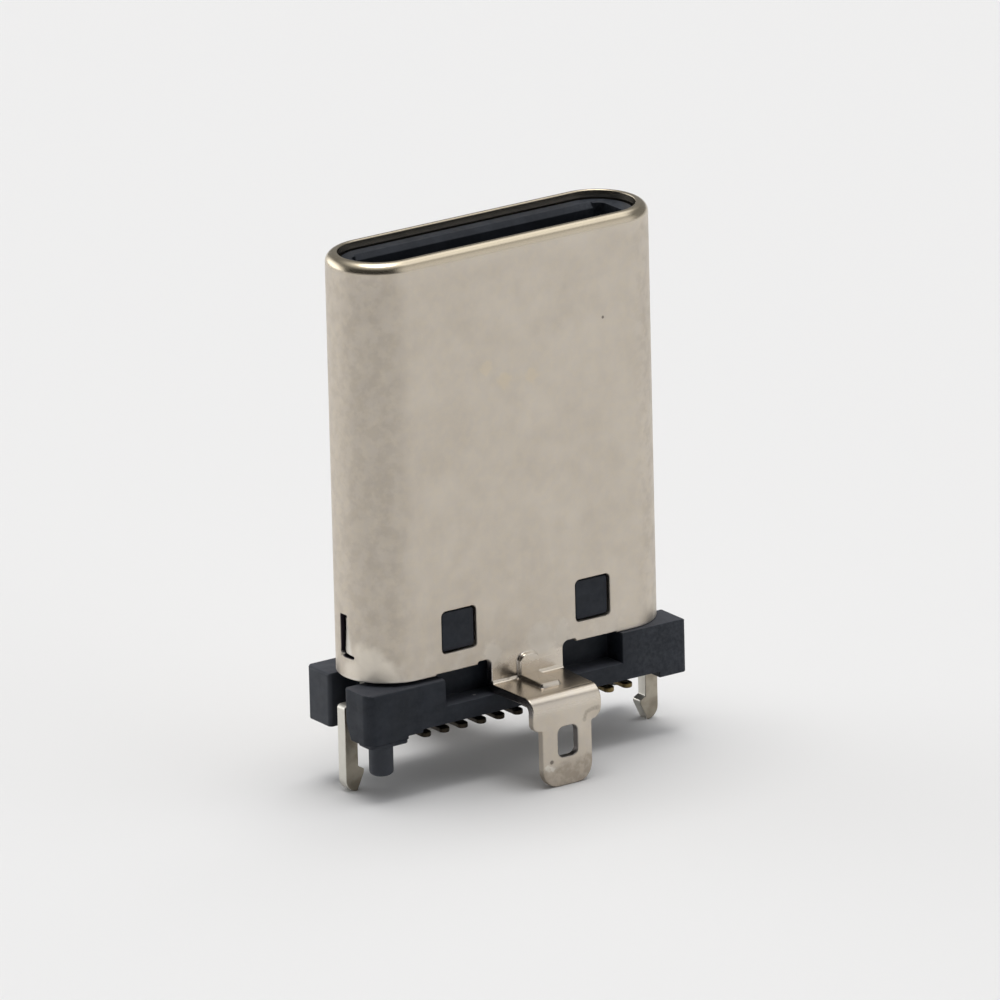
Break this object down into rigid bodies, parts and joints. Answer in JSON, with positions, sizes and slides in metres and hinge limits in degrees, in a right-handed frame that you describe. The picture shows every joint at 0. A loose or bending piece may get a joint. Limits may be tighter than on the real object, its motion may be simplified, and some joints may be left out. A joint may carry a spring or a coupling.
{
  "type": "usb-c plug",
  "caption": "Upright board-mount plug: a drawn metal shell with folded solder legs on a black moulded base, with contact rows, latch plate and board pegs.",
  "frame": {"origin": "centre of the footprint, on the board's top face", "axes": "+Z out of the board to the mouth, X along the shell's width, Y across its thickness; the front face looks along -Y"},
  "size_m": [0.0088, 0.0054, 0.0124],
  "materials": {
    "nickel": "satin nickel plate on drawn sheet",
    "black_moulding": "matt moulded black",
    "latch_steel": "plain stamped sheet, lightly tinned",
    "spring_steel": "bright rolled spring sheet",
    "gold": "thin gold plate"
  },
  "bodies": {
    "root": {"shell": "nickel", "front_base": "black_moulding", "rear_base": "black_moulding", "front_housing": "black_moulding", "latch_plate": "latch_steel", "front_ground_spring": "spring_steel", "rear_ground_spring": "spring_steel", "contact_a1": "gold", "contact_a2": "gold", "contact_a3": "gold", "contact_a4": "gold", "contact_a5": "gold", "contact_a6": "gold", "contact_a7": "gold", "contact_a8": "gold", "contact_a9": "gold", "contact_a10": "gold", "contact_a11": "gold", "contact_a12": "gold", "contact_b1": "gold", "contact_b2": "gold", "contact_b3": "gold", "contact_b4": "gold", "contact_b5": "gold", "contact_b6": "gold", "contact_b7": "gold", "contact_b8": "gold", "contact_b9": "gold", "contact_b10": "gold", "contact_b11": "gold", "contact_b12": "gold"}
  },
  "joints": []
}
